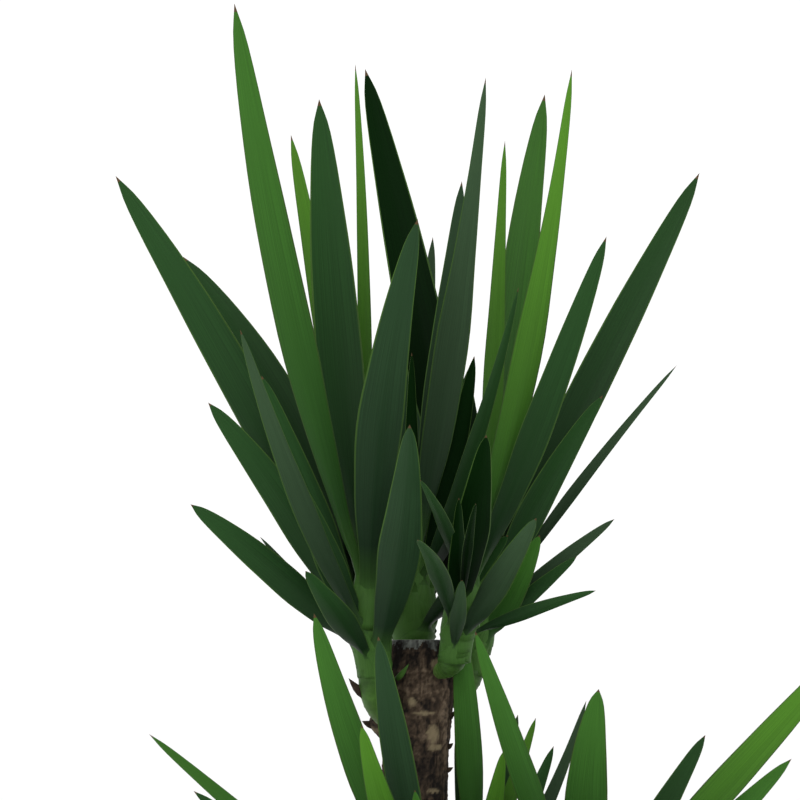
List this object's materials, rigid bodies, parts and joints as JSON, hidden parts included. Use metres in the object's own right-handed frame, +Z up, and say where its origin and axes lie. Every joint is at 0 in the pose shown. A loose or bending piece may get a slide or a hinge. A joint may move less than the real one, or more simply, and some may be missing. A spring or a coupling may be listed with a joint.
{
  "type": "spineless yucca plant",
  "caption": "Two upright sawn canes from one flared foot, each topped by side shoots that carry fans of long sword-shaped leaves",
  "frame": {"origin": "middle of the ground, on the flat cut under the tall cane", "axes": "+Z up the canes; -Y to the front of the plant; +X to its right, seen from the front"},
  "size_m": [0.7417, 0.9297, 1.2296],
  "materials": {
    "bark": "matt flaky bark",
    "shoot_skin": "smooth green skin",
    "leaf": "satin leaf"
  },
  "bodies": {
    "root": {"tall_cane": "bark", "short_cane": "bark", "shoot_left": "shoot_skin", "shoot_back": "shoot_skin", "shoot_front": "shoot_skin", "shoot_right": "shoot_skin", "shoot_low_left": "shoot_skin", "shoot_low_back": "shoot_skin", "shoot_low_right": "shoot_skin", "leaves_left": "leaf", "leaves_back": "leaf", "leaves_front": "leaf", "leaves_right": "leaf", "leaves_low_left": "leaf", "leaves_low_back": "leaf", "leaves_low_right": "leaf"}
  },
  "joints": []
}
